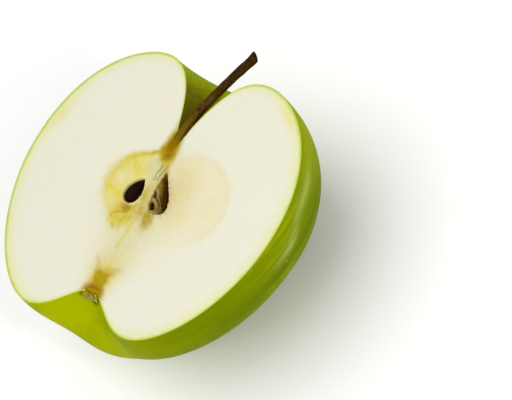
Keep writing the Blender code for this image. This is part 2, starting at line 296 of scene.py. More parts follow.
def makeSkin(material):
    # a closed shell: outer layer one way round, over the cut edge, inner layer back again
    w = skinWall
    turn = np.linspace(0, math.pi, w["columns"])[:, None]
    along = alongSteps(w["rings"])[None, :]
    outer = skinLayer(turn, along, 0.0)
    inner = skinLayer(turn, along, w["thick"])
    lift = np.array([0, 0, w["proud"]])
    left, right = [outer[i] * (1 - w["edgeInward"]) + inner[i] * w["edgeInward"] + lift for i in (-1, 0)]
    leftInner, rightInner = [inner[i] + lift * 0.5 for i in (-1, 0)]
    layers = [outer, left[None], leftInner[None], inner[-2:0:-1], rightInner[None], right[None]]
    net = np.swapaxes(np.concatenate(layers, 0), 0, 1)
    x, y, z = net[..., 0], net[..., 1], net[..., 2]
    deep, wide = w["stemDip"]
    dip = deep * np.exp(-(x / wide) ** 4) * (1 - smooth(22.5, 26.5, y)) * (y > 0)
    deep, wide = w["calyxDip"]
    atFlower = smooth(-19.0, -20.4, y) * (1 - smooth(-21.6, -23.0, y))
    dip = dip + deep * np.exp(-((x - w["calyxMiddle"]) / wide) ** 4) * atFlower
    net[..., 2] = z - dip * smooth(-1.5, -0.1, z)
    cut = np.zeros(net.shape[:2])
    cut[:, w["columns"]:w["columns"] + 2] = 1
    cut[:, -2:] = 1
    turnField = np.concatenate([turn[:, 0], [math.pi] * 2, turn[-2:0:-1, 0], [0] * 2]) / math.pi
    t, a = np.meshgrid(turnField, along[0] / math.pi)
    # a painted highlight: a pale sheen band beside the right lobe's rim
    bandAt = 0.039 + 0.029 * smooth(0.41, 0.49, a) + 0.008 * smooth(0.32, 0.26, a)
    bandEnds = smooth(0.27, 0.36, a) * (1 - smooth(0.47, 0.55, a))
    band = np.exp(-((t - bandAt) / w["bandWidth"]) ** 2) * bandEnds
    seenX, seenY = seenAt(x, y, -z)
    hollow = sum(strong * spot(seenX, seenY, *place) for strong, *place in w["hollows"])
    fields = {"cutEdge": cut, "along": a, "turn": t, "paintedSheen": band, "eyeShadow": hollow}
    faces = gridFaces(net.shape[0], net.shape[1], closed=True)
    return closeMesh(newMesh("apple_skin", net.reshape(-1, 3), faces, material, fields))


# marks on the cut face, each a number from 0 to 1 at each vertex

core = {
    "line": [(-1.0, 17.2), (-3.4, 16.7), (-6.0, 15.6), (-8.2, 14.6), (-10.3, 13.1), (-12.2, 11.0),
             (-13.3, 8.2), (-13.3, 5.2), (-12.3, 2.4), (-10.4, 0.2), (-8.2, -1.6), (-6.2, -3.6),
             (-4.2, -4.5)],
    "lineClose": [(0.3, -3.0), (0.6, 4.0), (-0.2, 10.0), (-1.0, 14.8)],
    "fibreMiddle": (-2.4, 4.0),
    "haloMiddle": (11.0, 7.5), "haloRadius": 12.6,
    "stemLine": [(-0.6, 24.5), (-0.6, 20.5), (-0.4, 17.6), (-0.5, 16.0)],
    "rightArm": [(0.7, 17.0), (1.4, 14.9), (2.0, 13.4), (2.5, 12.0)],
    "spine": [(0.4, 14.8), (0.6, 12.6), (0.4, 9.5), (0.2, 6.0), (0.5, 2.5), (0.7, 0.0)],
    "darkLines": [[(-0.1, 14.0), (-0.3, 12.2), (-0.3, 10.0)], [(1.5, 13.6), (1.0, 12.0), (0.8, 10.2)]],
    "brownLines": [
        [(-1.3, 2.9), (-1.7, 1.2), (-3.0, 0.2), (-4.9, -0.5)],
        [(-2.4, 1.3), (-3.7, 0.1), (-5.4, -0.9), (-6.6, -1.2)],
        [(-2.2, -0.6), (-2.9, -2.2), (-2.6, -3.4), (-4.0, -4.3), (-5.3, -3.7), (-5.5, -2.4)],
        [(-5.9, -0.4), (-6.4, -1.6), (-5.9, -2.9)], [(-0.6, 1.2), (-0.8, -0.6), (-1.6, -1.9)],
        [(1.6, 4.6), (1.5, 2.4), (1.5, 0.6), (2.0, -1.2)],
    ],
    "streaks": [[(0.6, 0.5), (0.5, -3.0), (0.3, -5.6), (0.0, -8.6)],
                [(-1.4, -1.0), (-1.9, -3.0), (-2.2, -4.6)]],
    "leftCalyxArm": [(-0.8, -16.2), (-1.9, -14.9), (-2.7, -13.6), (-3.4, -12.6)],
    "rightCalyxArm": [(1.6, -15.8), (3.0, -14.7), (4.2, -13.9)],
    # soft ovals: strength, middle, half sizes, lean
    "yellowPatches": [
        (0.30, -9.4, 12.0, 2.6, 1.4), (0.34, -6.0, 10.8, 1.9, 2.7), (0.42, -12.2, 7.4, 1.6, 2.8),
        (0.34, -9.2, 3.6, 3.2, 1.7), (0.25, -6.6, 3.0, 1.5, 1.4), (-0.22, -9.6, 8.0, 1.6, 2.2),
    ],
    "ovals": {
        "rimWarm": [(1, 26.6, 36.0, 4.8, 1.8, -34), (1, -37.2, 17.0, 4.6, 1.8, 68)],
        "stemBrown": [(1, -0.4, 19.2, 1.5, 2.6), (0.6, -0.1, 16.6, 1.0, 1.0)],
        "middleYellow": [(1, -0.3, 5.6, 1.2, 2.6), (1, 0.9, 1.6, 1.3, 2.0)],
        "lowYellow": [(1, -4.0, -2.3, 1.9, 2.0), (1, -1.9, -1.0, 1.8, 1.7), (1, -5.7, -0.3, 1.9, 1.7),
                      (1, -2.6, 1.2, 1.9, 1.0)],
        "olive": [(1.15, 4.0, -0.2, 1.6, 2.2, 15), (0.8, 2.9, 1.6, 1.3, 1.0)],
        "amber": [(1, -3.4, 1.2, 1.5, 1.0), (0.5, -4.8, 1.4, 1.4, 0.8)],
        "calyxGlow": [(1.2, 0.6, -17.0, 3.9, 4.4)],
        "calyxBrown": [(1.3, 0.1, -20.2, 2.2, 1.1)],
    },
}

chamber = {
    # outline on the face, from the point at the stem's end down the pip's side and back
    "outline": [(2.0, 12.7), (2.9, 12.0), (3.8, 10.9), (4.8, 9.5), (5.8, 8.2), (6.7, 6.8), (7.35, 5.2),
                (7.5, 3.9), (7.0, 2.9), (5.8, 2.3), (4.3, 2.0), (3.0, 2.3), (2.1, 3.8), (1.7, 6.0),
                (1.6, 8.2), (1.7, 10.6), (2.0, 12.7)],
    "shallow": 0.45, "deep": 3.0, "slopeStart": -1.7, "slopeEnd": 1.3,
    "axis": ((5.2, 2.0), (2.6, 12.6)),
    "seenRight": 0.76, "seenDown": 0.25,
    # tones of the walls, placed where the camera sees them: the membranes' own colours, partly darkened with
    # painted shade of the hollow
    "greenStrip": [(2.8, 8.9), (3.5, 7.7), (4.1, 6.8), (4.8, 5.8)],
    "paleBands": [[(1.9, 8.2), (3.2, 6.9), (4.3, 6.0), (5.3, 5.0)],
                  [(2.0, 5.4), (3.6, 4.9), (5.1, 3.7), (6.0, 3.0)],
                  # the third band lightens the chamber's lower rim: painted light against its shade
                  [(2.5, 3.2), (3.4, 2.4), (4.6, 2.2), (5.8, 2.6)]],
    "brownWall": [(1.9, 12.1), (2.5, 11.0), (3.3, 9.9), (4.3, 8.7)],
    # the holes, painted near-black as their shade: centre, half sizes, lean, then their narrow tails
    "pits": [((2.3, 6.5), (1.0, 0.72), -48), ((3.4, 3.55), (1.3, 0.86), -38)],
    "tails": [[(2.7, 6.0), (3.7, 5.7), (4.7, 5.0), (5.5, 4.2)], [(2.3, 7.0), (1.9, 7.9), (1.9, 9.0)]],
    "pitDeep": 0.6,
}


def dropEdge(x, y, blunt, point, width, taper):
    # how far inside a pip-shaped outline a point lies
    bx, by = blunt
    length = math.hypot(point[0] - bx, point[1] - by)
    ux, uy = (point[0] - bx) / length, (point[1] - by) / length
    a = (x - bx) * ux + (y - by) * uy
    across = (x - bx) * uy - (y - by) * ux
    turn = np.arccos(np.clip(1 - 2 * a / length, -1, 1))
    half = width / 2 * np.sin(turn) * np.cos(turn / 2) ** taper / 0.80
    beyond = -np.hypot(across, np.maximum(-a, a - length))
    return np.where((a > 0) & (a < length), half - np.abs(across), beyond)


def chamberInside(x, y):
    # distance inside the chamber's outline, whose edge small waves make uneven
    outline = curveThrough(chamber["outline"], 90)
    return insideOf(x + 0.12 * waves(15, 1.1, x, y), y + 0.12 * waves(16, 1.1, x, y), outline)


def chamberFloor(x, y):
    # how open the chamber is (0 to 1), how far its floor lies down, and where that floor shows;
    # the floor slopes from shallow to deep across the chamber's axis
    c = chamber
    hole = smooth(0.0, 0.3, chamberInside(x, y))
    (bx, by), (px, py) = c["axis"]
    rightOfAxis = ((x - bx) * (py - by) - (y - by) * (px - bx)) / math.hypot(px - bx, py - by)
    slope = smooth(c["slopeStart"], c["slopeEnd"], rightOfAxis)
    floor = (c["shallow"] + (c["deep"] - c["shallow"]) * slope) * (1 + 0.12 * waves(24, 1.2, x, y)) * hole
    return hole, floor, *seenAt(x, y, floor)


def pitDepth(seenX, seenY):
    # 1 inside the dark holes of the chamber and their narrow tails, 0 outside their edges
    x, y = seenAt(seenX, seenY, chamber["pitDeep"])
    total = np.zeros(x.shape)
    uneven = 1 + 0.15 * waves(28, 0.9, x, y)
    for (px, py), (halfX, halfY), lean in chamber["pits"]:
        across, along = turned(x, y, px, py, lean)
        total = np.maximum(total, 1 - smooth(0.72, 1.12, np.hypot(across / halfX, along / halfY) / uneven))
    for line in chamber["tails"]:
        total = np.maximum(total, 0.6 * stroke(x, y, line, 0.28, 0.16))
    return total


def chamberMarks(x, y):
    # the tones inside the open chamber, and the brown edge on its left
    c = chamber
    inside = chamberInside(x, y)
    hole, _, sx, sy = chamberFloor(x, y)
    sx, sy = sx + 0.1 * waves(29, 0.8, x, y), sy + 0.1 * waves(30, 0.8, x, y)
    return {
        "chamberSide": np.exp(-(np.minimum(inside, 0) / 0.75) ** 2) * (1 - smooth(2.6, 4.2, x)),
        # the chamber's olive: the membranes' own colour, partly painted shade of the hollow
        "chamber": smooth(-0.15, 0.12, inside),
        # pale membrane edges; the lowest band is painted light
        "paleBand": sum(stroke(sx, sy, line, 0.3, 0.4) for line in c["paleBands"]) * hole,
        # a green membrane strip, partly painted shade
        "greenStrip": stroke(sx, sy, c["greenStrip"], 0.46, 0.42) * hole,
        "brownWall": stroke(sx, sy, c["brownWall"], 0.7, 0.55) * hole,
        # painted shade: the holes and their tails near-black
        "pitShade": pitDepth(sx, sy) * hole,
    }


def faceMarks(x, y):
    # each stain of the face: strokes exp(-(distance / width)^2), soft ovals, and areas that fade
    # over smooth steps, all read at places that slow and quick waves push aside
    c = core
    wx = x + 0.35 * waves(11, 3.0, x, y) + 0.12 * waves(17, 0.9, x, y)
    wy = y + 0.35 * waves(12, 3.0, x, y) + 0.12 * waves(18, 0.9, x, y)
    marks = chamberMarks(x, y)
    for name, ovals in c["ovals"].items():
        marks[name] = np.clip(sum(strong * spot(wx, wy, *place) for strong, *place in ovals), 0, 1)
    # the yellow line round the left half of the core, strongest at the stem
    outline = curveThrough(c["line"], 60)
    away, share = lineDistance(wx, wy, outline)
    strength = 1.0 - 0.45 * smooth(0.28, 0.5, share) - 0.3 * smooth(0.5, 0.75, share)
    width = 0.66 + 0.7 * smooth(0.1, 0.45, share) + 0.25 * smooth(0.1, 0.0, share)
    marks["coreLine"] = np.exp(-(away / width) ** 2) * strength
    marks["lineFoot"] = marks["coreLine"] * smooth(0.24, 0.08, share)
    # the yellow ground inside the line, in patches, with fibres fanning out from the pip
    ground = insideOf(wx, wy, np.vstack([outline, c["lineClose"], outline[0]]))
    fx, fy = wx - c["fibreMiddle"][0], wy - c["fibreMiddle"][1]
    reach = np.hypot(fx, fy)
    fibres = waves(13, 0.16, np.arctan2(fy, fx) + 0.012 * reach) * smooth(2.5, 7.0, reach)
    patch = 0.56 + 0.10 * waves(19, 4.0, x, y) + 0.07 * fibres
    patch = patch + 0.65 * sum(strong * spot(wx, wy, *place) for strong, *place in c["yellowPatches"])
    marks["yellow"] = np.clip(smooth(-0.7, 1.2, ground) * patch, 0, 1)
    # warm halo of the right lobe with a faint line round it, and short rays beside the chamber
    hx, hy = c["haloMiddle"]
    far = np.hypot(wx - hx, (wy - hy) * 1.04) - c["haloRadius"]
    rightSide = smooth(1.0, 3.0, x)
    fade = 1 - 0.9 * smooth(4.0, -4.5, y) - 0.1 * smooth(14, 23, x)
    cloudy = 0.75 + 0.3 * waves(14, 5.0, x, y)
    marks["halo"] = (1 - smooth(-2.4, 1.5, far)) * rightSide * cloudy * fade
    broken = smooth(-7.0, 3.0, y) * (0.6 + 0.4 * waves(20, 4.0, x, y))
    marks["haloLine"] = np.exp(-((far + 0.5) / 1.0) ** 2) * rightSide * broken
    marks["haloNear"] = spot(wx, wy, 7.5, 8.5, 5.0, 8.0, 18) * rightSide
    near = np.exp(-(np.minimum(chamberInside(x, y), 0) / 1.1) ** 2) * smooth(2.5, 5.0, x)
    rays = smooth(0.0, 0.6, waves(26, 0.22, np.arctan2(y - 7.0, x - 3.0)))
    marks["lashes"] = np.clip(near * (0.35 + 0.65 * rays), 0, 1)
    # stem stain, the pale spine under it and the lines in that
    stem, share = lineDistance(wx, wy, c["stemLine"])
    flare = 1.35 + 0.85 * np.exp(-((y - 18.0) / 2.3) ** 2) - 0.4 * smooth(16.8, 15.2, y)
    marks["stemStain"] = 1 - smooth(-0.6, 0.7, stem - flare)
    marks["stemGlow"] = np.exp(-(np.maximum(stem - flare, 0) / 1.0) ** 2)
    marks["rightArm"] = stroke(wx, wy, c["rightArm"], 0.9, 0.5)
    pale = 1.1 * spot(wx, wy, -2.5, 12.9, 1.7, 2.3, 20) + 0.8 * spot(x, y, -1.0, 10.0, 1.0, 2.6)
    marks["paleGreen"] = np.clip(pale, 0, 1)
    marks["spine"] = stroke(x + 0.25 * waves(27, 2.0, x, y), y, c["spine"], 1.3, 1.1)
    marks["darkLine"] = np.clip(sum(stroke(wx, y, line, 0.5, 0.24) for line in c["darkLines"]), 0, 1)
    marks["streak"] = sum(stroke(wx, wy, line, 0.7, 0.45) for line in c["streaks"])
    wrinkles = sum(stroke(wx, wy, line, 0.36, 0.2) for line in c["brownLines"])
    marks["brownLine"] = np.clip(wrinkles * smooth(-0.5, 0.5, waves(33, 1.3, x, y)), 0, 1)
    # veil down to the calyx, then its stain: a waist with two short arms and a brown foot
    veilWidth = 5.5 + 0.25 * (y + 15)
    marks["veil"] = np.exp(-((x - 1.5) / veilWidth) ** 2) * smooth(-19, -12, y) * (1 - smooth(-4, 6, y))
    waist = 2.1 + 0.5 * np.exp(-((y + 15.6) / 1.3) ** 2) + 1.5 * smooth(-18.2, -21.4, y)
    body = 1 - smooth(-1.4, 1.4, np.abs(wx - 0.6) - waist)
    body = body * (1 - smooth(-15.2, -13.4, wy)) * (0.25 + 0.75 * smooth(-14.6, -17.2, y))
    arms = stroke(wx, wy, c["leftCalyxArm"], 1.3, 0.7) + stroke(wx, wy, c["rightCalyxArm"], 1.5, 1.2)
    marks["calyxStain"] = np.clip(body + 0.3 * arms, 0, 1)
    return marks


seeds = {
    "seed_left": {
        "length": 7.1, "width": 4.7, "thick": 2.7, "taper": 0.6, "onEdge": False,
        "blunt": (-4.9, 2.5), "point": (-3.1, 9.4), "depth": (0.9, 0.9),
    },
    "seed_right": {
        "length": 10.0, "width": 3.7, "thick": 1.9, "taper": 0.75, "onEdge": True,
        "blunt": (7.0, 2.9), "point": (2.3, 12.3), "depth": (2.7, 0.8),
    },
}


relief = {
    "cutWaves": 0.025, "knifeRidges": 0.012, "coreSunk": 0.10, "coreRough": 0.035,
    "bedGap": 0.12, "bedDeep": 1.7, "bedSlope": 0.05, "grooveDeep": 0.45,
}


def faceHeight(x, y, rimShare):
    # height of the cut face: knife marks, a softly sunken core, the pip's bed, the chamber and a
    # groove down to the calyx, all faded out at the rim
    r = relief
    away = np.hypot(x / 9.0, (y - 5.0) / 11.0)
    z = r["cutWaves"] * waves(21, 9, x, y) * (1 - smooth(0.9, 1.0, rimShare))
    z = z + r["knifeRidges"] * np.sin((x * 0.35 + y) * 2.1 + 1.5 * waves(22, 14, x, y))
    z = z - r["coreSunk"] * np.exp(-away ** 2 * 1.4)
    z = z + r["coreRough"] * waves(23, 1.6, x, y) * np.exp(-away ** 2)
    s = seeds["seed_left"]
    inside = dropEdge(x, y, s["blunt"], s["point"], s["width"] + r["bedGap"], s["taper"])
    z = z - r["bedDeep"] * smooth(-0.12, 0.22, inside)
    z = z - r["bedSlope"] * np.exp(-(np.minimum(inside, 0) / 0.6) ** 2)
    hole, floor, seenX, seenY = chamberFloor(x, y)
    z = z - floor - chamber["pitDeep"] * pitDepth(seenX, seenY) * hole
    groove = np.exp(-((x - 0.5) / 1.9) ** 2) * smooth(-16.5, -20.8, y)
    z = z - r["grooveDeep"] * groove * (1 + 0.5 * waves(25, 1.1, x, y))
    return z * (1 - smooth(0.985, 1.0, rimShare))


flesh = {
    "underSkin": 0.29, "rows": 300, "lobeColumns": 128, "backColumns": 34, "coreCrowding": 0.42,
    "sunkUnderFlower": 0.42,
}


def makeFlesh(material):
    # a closed body: the back just under the skin, then the cut face from the left rim over the
    # core to the right rim; face point = core point + share * (rim point - core point)
    w = flesh
    along = alongSteps(w["rows"])[None, :]
    back = skinLayer(np.linspace(0, math.pi, w["backColumns"])[:, None], along, w["underSkin"])
    v = np.linspace(0, 1, w["lobeColumns"])
    share = (w["coreCrowding"] * v + (1 - w["coreCrowding"]) * v ** 3)[:, None, None]
    down = np.linspace(0, 1, w["rows"]) ** 1.3
    top, bottom = back[0, 0, 1], back[0, -1, 1]
    spine = np.stack([0 * down, top + (bottom - top) * down, 0 * down], -1)[None]
    toRight, toLeft = back[:1] - spine, back[-1:] - spine
    face = np.concatenate([(spine + share * toLeft)[-2:0:-1], (spine + share * toRight)[:-1]], 0)
    rimShare = np.concatenate([share[-2:0:-1], share[:-1]], 0)[..., 0]
    lobeLength = [np.linalg.norm(way, axis=-1) for way in (toLeft, toRight)]
    rimLength = np.concatenate([np.repeat(lobeLength[0], len(share) - 2, 0),
                                np.repeat(lobeLength[1], len(share) - 1, 0)], 0)
    x, y = face[..., 0], face[..., 1]
    face[..., 2] = faceHeight(x, y, rimShare * np.ones_like(x))
    marks = faceMarks(x, y)
    # how far the rim is; the sliced stem and the dried flower hide it
    hidden = np.exp(-(x / 2.1) ** 2) * (1 - smooth(22, 27, y)) * (y > 0) + spot(x, y, 0.4, -20.6, 3.4, 2.2)
    marks["rimDistance"] = (1 - rimShare) * rimLength * 0.93 + 5 * hidden
    net = np.swapaxes(np.concatenate([back, face], 0), 0, 1)
    sunk = np.exp(-((net[..., 0] - 0.4) / 2.3) ** 4) * smooth(-20.0, -20.8, net[..., 1])
    net[..., 2] = np.minimum(net[..., 2], -w["sunkUnderFlower"] * sunk)
    fields = {}
    for key, values in marks.items():
        fields[key] = np.zeros(net.shape[:2])
        fields[key][:, w["backColumns"]:] = values.T
    faces = gridFaces(net.shape[0], net.shape[1], closed=True)
    return closeMesh(newMesh("apple_flesh", net.reshape(-1, 3), faces, material, fields))


stemShape = {
    "foot": (-0.75, 15.8), "bend": 27.5, "end": 47.6, "lean": 0.44, "softness": 3.5,
    "sinkFoot": -1.0, "sinkEnd": -0.4, "footRadius": 1.5, "neckRadius": 0.93, "endRadius": 1.18,
    "flareShare": 0.35, "swellPower": 1.6, "rings": 240, "sides": 72,
    "knots": [(0.86, 0.05), (0.93, -0.04)],        # share of the length, swell of the radius
    "brokenEnd": (1.02, 0.98, 0.86, 0.45), "slant": 0.75,
    "cutBelow": 29.5, "proud": 0.05, "footSinks": 0.35,
}


def bark(share, angle):
    # 1 + ridges sin(k * angle + turn * share) + roughness, fading out towards the foot
    ridges = 0.045 * np.sin(7 * angle + 5 * share) + 0.03 * np.sin(13 * angle - 9 * share)
    rough = 0.05 * waves(31, 0.9, np.cos(angle) * 1.5, np.sin(angle) * 1.5, share * 16)
    return 1 + (ridges + rough) * smooth(0.12, 0.3, share)


def makeStem(material):
    # a twig: a straight foot, then a lean that grows as lean * softness * log(1 + e^(y / softness))
    s = stemShape
    y = np.linspace(s["foot"][1], s["end"], s["rings"])
    share = (y - y[0]) / (y[-1] - y[0])
    lean = s["lean"] * s["softness"] * np.logaddexp(0, (y - s["bend"]) / s["softness"])
    wobble = 0.08 * np.sin(y * 0.55 + 1.0) * smooth(24, 30, y)
    sink = s["sinkFoot"] + (s["sinkEnd"] - s["sinkFoot"]) * share
    centre = np.stack([s["foot"][0] + lean + wobble, y, sink], -1)
    radius = s["neckRadius"] + (s["footRadius"] - s["neckRadius"]) * np.exp(-(share / s["flareShare"]) ** 2)
    radius = radius + (s["endRadius"] - s["neckRadius"]) * share ** s["swellPower"]
    knots = sum(swell * np.exp(-((share - place) / 0.03) ** 2) for place, swell in s["knots"])
    radius = radius * (1 + knots)
    radius[-4:] *= np.array(s["brokenEnd"])
    obj = tube("stem_twig", centre, radius, s["sides"], material, bark)
    local = facePoints(obj)
    # the broken end is slanted, and the foot was sliced level with the cut face
    tip = smooth(0.965, 1.0, (local[:, 1] - y[0]) / (y[-1] - y[0]))
    side = local[:, 0] - np.interp(local[:, 1], centre[:, 1], centre[:, 0])
    local[:, 1] -= tip * side * s["slant"]
    ragged = s["cutBelow"] + 0.9 * waves(32, 1.2, local[:, 0], local[:, 1])
    limit = s["proud"] + 4 * smooth(-1.5, 4.5, local[:, 1] - ragged)
    limit = limit - s["footSinks"] * smooth(18.5, s["foot"][1], local[:, 1])
    addField(obj.data, "sliced", smooth(-0.12, 0.02, local[:, 2] - limit))
    local[:, 2] = np.minimum(local[:, 2], limit)
    setFacePoints(obj, local)
    return closeMesh(obj)


pipCoat = {"rows": 90, "sides": 72, "keel": 0.05, "wrinkles": 11, "wrinkleDeep": 0.010, "endGap": 0.02}


def makeSeed(name, material):
    # a pip: half width = sin(turn) cos(turn/2)^taper from blunt end to point, oval in section,
    # with a soft keel along both edges and fine lengthwise wrinkles
    s, coat = seeds[name], pipCoat
    rows, sides = coat["rows"], coat["sides"]
    turn = np.linspace(coat["endGap"], math.pi - coat["endGap"], rows)[:, None]
    angle = np.linspace(0, 2 * math.pi, sides, endpoint=False)[None, :]
    swell = np.sin(turn) * np.cos(turn / 2) ** s["taper"]
    swell = swell / swell.max()
    keel = 1 + coat["keel"] * np.cos(2 * angle) ** 6
    uneven = 2 * waves(41, 2.5, turn * 2, angle)
    wrinkle = 1 + coat["wrinkleDeep"] * np.sin(coat["wrinkles"] * angle + uneven)
    across = s["width"] / 2 * swell * np.cos(angle) * keel * wrinkle
    thick = s["thick"] / 2 * swell * np.sin(angle) * wrinkle
    half = s["length"] / 2
    lengthwise = np.repeat(-half * np.cos(turn), sides, 1)
    local = np.stack([across, lengthwise, thick], -1).reshape(-1, 3)
    local = np.vstack([local, [[0, -half, 0], [0, half, 0]]])
    if s["onEdge"]:
        local = np.stack([local[:, 2], local[:, 1], -local[:, 0]], -1)
    blunt = Vector((*s["blunt"], -s["depth"][0]))
    point = Vector((*s["point"], -s["depth"][1]))
    frameOfPip = np.array((point - blunt).to_track_quat("Y", "Z").to_matrix())
    points = local @ frameOfPip.T + np.array((blunt + point) / 2)
    faces = gridFaces(rows, sides, closed=True) + endFans(rows, sides)
    along = np.append(np.repeat(np.linspace(0, 1, rows), sides), [0, 1])
    return closeMesh(newMesh(name + "_pip", points, faces, material, {"along": along}))


membranes = {
    # thin horny walls of the chamber: path on the face, height of the top edge, how deep they go
    "membrane_between": {"path": [(1.8, 7.8), (2.8, 7.0), (3.8, 6.1), (4.7, 5.1), (5.3, 4.0)],
                         "top": [-0.5, -0.45, -0.55, -0.75, -1.0], "deep": 1.6, "lean": 0.2},
    "membrane_below": {"path": [(1.9, 5.3), (3.2, 4.9), (4.5, 3.9), (5.4, 2.9)],
                       "top": [-0.45, -0.4, -0.5, -0.6], "deep": 1.5, "lean": 0.3},
}
membraneWall = {"steps": 70, "levels": 14, "topHalf": 0.035, "footSwell": 0.05, "ripple": 0.09}


def makeMembrane(name, material):
    # a ribbon on edge: path point + depth * (down, leaning sideways), with a rippled thin wall
    m, wall = membranes[name], membraneWall
    path = curveThrough([(x, y, z) for (x, y), z in zip(m["path"], m["top"])], wall["steps"])
    flat = unit(np.gradient(path[:, :2], axis=0))
    side = np.stack([flat[:, 1], -flat[:, 0], 0 * flat[:, 0]], -1)
    levels = np.linspace(0, 1, wall["levels"])
    layers = []
    for sign, order in ((1, levels), (-1, levels[::-1])):
        t = order[:, None, None]
        halfWall = wall["topHalf"] + wall["footSwell"] * t
        ripple = wall["ripple"] * waves(51, 1.4, path[:, 1] + 0 * t[..., 0], order[:, None] * m["deep"])
        place = path[None] - np.array([0, 0, m["deep"]]) * t
        place = place + side[None] * (m["lean"] * t * m["deep"] + sign * halfWall)
        layers.append(place + side[None] * ripple[..., None] * smooth(0, 0.3, t))
    net = np.swapaxes(np.concatenate(layers, 0), 0, 1)
    rows, columns = net.shape[:2]
    ring = np.arange(columns)
    faces = gridFaces(rows, columns, closed=True)
    faces += [ring.tolist(), (ring + (rows - 1) * columns)[::-1].tolist()]
    return closeMesh(newMesh(name, net.reshape(-1, 3), faces, material))


calyx = {
    "middle": (0.45, -21.3, -0.5), "seed": 5,
    "plugFrom": -20.1, "plugTo": -21.7, "plugMiddle": (0.45, -0.25), "plugRadius": 2.35,
    "plugLevel": -0.22, "plugRough": 0.10, "plugCorners": 5, "cornerSwell": 0.06,
    "sepalTurns": (-8, -40, -75, -112, -148, -172), "sepalLength": 2.1, "sepalWidth": 2.3,
    "sepalThick": 0.14, "sepalRoot": 1.35, "sepalCurl": 1.1, "sepalCup": 0.35, "sepalCrinkle": 0.10,
    "slicedAt": -0.03, "sliceSoft": 0.06,
    "hairs": 240, "hairRadius": 0.035, "hairSpread": (0.1, 2.2), "hairLength": (0.4, 1.1),
    "stamens": 9, "stamenRadius": 0.11, "stamenRing": 1.1, "stamenLength": (1.6, 2.6),
    "stamenRoots": (0.35, -20.9, -0.3),
}


def crumbly(share, angle):
    # 1 + rough noise + blunt corners
    rough = calyx["plugRough"] * waves(61, 0.5, np.cos(angle), np.sin(angle), share * 1.2)
    return 1 + rough + calyx["cornerSwell"] * np.sin(calyx["plugCorners"] * angle)


def makePlug(material):
    # the dried flower's base: a short rough plug round the core, sliced just under the face
    c = calyx
    y = np.linspace(c["plugFrom"], c["plugTo"], 36)
    share = np.linspace(0, 1, len(y))
    x, z = c["plugMiddle"]
    centre = np.stack([x + 0 * y, y, z + 0 * y], -1)
    radius = c["plugRadius"] * (0.55 + 0.45 * np.sin(math.pi * (0.15 + 0.7 * share)))
    obj = tube("calyx_plug", centre, radius, 90, material, crumbly)
    local = facePoints(obj)
    level = c["plugLevel"] + 0.12 * waves(62, 0.45, local[:, 0], local[:, 1])
    local[:, 2] = np.minimum(local[:, 2], level)
    setFacePoints(obj, local)
    return closeMesh(obj)


def makeSepals(material):
    # curled dry leaves: width narrows as 1 - t^2 along an arc that leans out, then in at the tip
    c = calyx
    rng = np.random.default_rng(c["seed"])
    points = []
    t = np.linspace(0, 1, 22)[:, None]
    v = np.linspace(-1, 1, 11)[None, :]
    down = np.array([0, 1, 0])
    for turn in c["sepalTurns"]:
        a = math.radians(turn + rng.uniform(-5, 5))
        out = np.array([math.cos(a), 0, math.sin(a)])
        across = np.array([-math.sin(a), 0, math.cos(a)])
        length = c["sepalLength"] * rng.uniform(0.75, 1.05)
        half = c["sepalWidth"] / 2 * (1 - t ** 1.8) ** 0.8 + 0.03
        reach = c["sepalRoot"] + c["sepalCurl"] * np.sin(t * math.pi * 0.62) * rng.uniform(0.7, 1.1)
        fall = -length * (t - 0.25 * t ** 3)
        cup = -c["sepalCup"] * (v ** 2) * half + c["sepalCrinkle"] * np.sin(9 * t + 4 * v + a)
        for level in (c["sepalThick"] / 2, -c["sepalThick"] / 2):
            outward = reach + cup + level * (1 - 0.5 * t)
            body = down * fall[..., None] + out * outward[..., None] + across * (half * v)[..., None]
            points.append(body.reshape(-1, 3) + np.array(c["middle"]))
    rows, columns = len(t), v.shape[1]
    count = rows * columns
    sheet = np.array(gridFaces(rows, columns))
    number = np.arange(count).reshape(rows, columns)
    edge = np.concatenate([number[0], number[1:, -1], number[-1, -2::-1], number[-2:0:-1, 0]])
    after = np.roll(edge, -1)
    wall = np.stack([edge, edge + count, after + count, after], -1)
    leaf = np.concatenate([sheet, sheet[:, ::-1] + count, wall])
    bases = np.arange(len(c["sepalTurns"])) * 2 * count
    faces = (leaf[None] + bases[:, None, None]).reshape(-1, 4).tolist()
    points = np.vstack(points)
    # the knife took what stood above the face: a soft minimum of z and slicedAt
    over = (c["slicedAt"] - points[:, 2]) / c["sliceSoft"]
    points[:, 2] = c["slicedAt"] - c["sliceSoft"] * np.logaddexp(0, over)
    return closeMesh(newMesh("calyx_leaves", points, faces, material))


def spikes(name, roots, ways, lengths, radius, bends, material, sides=4, rows=4):
    # many thin hairs as one mesh: root + way * length * t + bend * t^2, tapering to a point
    t = np.linspace(0, 1, rows)[None, :, None, None]
    angle = np.linspace(0, 2 * math.pi, sides, endpoint=False)[None, None, :, None]
    ways = unit(ways)
    first = unit(np.cross(ways, (0.31, 0.52, 0.79)))      # any direction that no hair has
    second = np.cross(ways, first)
    ring = first[:, None, None] * np.cos(angle) + second[:, None, None] * np.sin(angle)
    reach = ways * lengths[:, None]
    middle = roots[:, None, None] + reach[:, None, None] * t + bends[:, None, None] * t ** 2
    net = middle + ring * radius * (1 - 0.85 * t)
    bases = np.arange(len(roots))[:, None] * rows * sides
    one, cap = np.array(gridFaces(rows, sides, closed=True)), np.arange(sides)
    faces = (one[None] + bases[..., None]).reshape(-1, 4).tolist()
    faces += (bases + cap[::-1]).tolist() + (bases + (rows - 1) * sides + cap).tolist()
    return newMesh(name, net.reshape(-1, 3), faces, material)


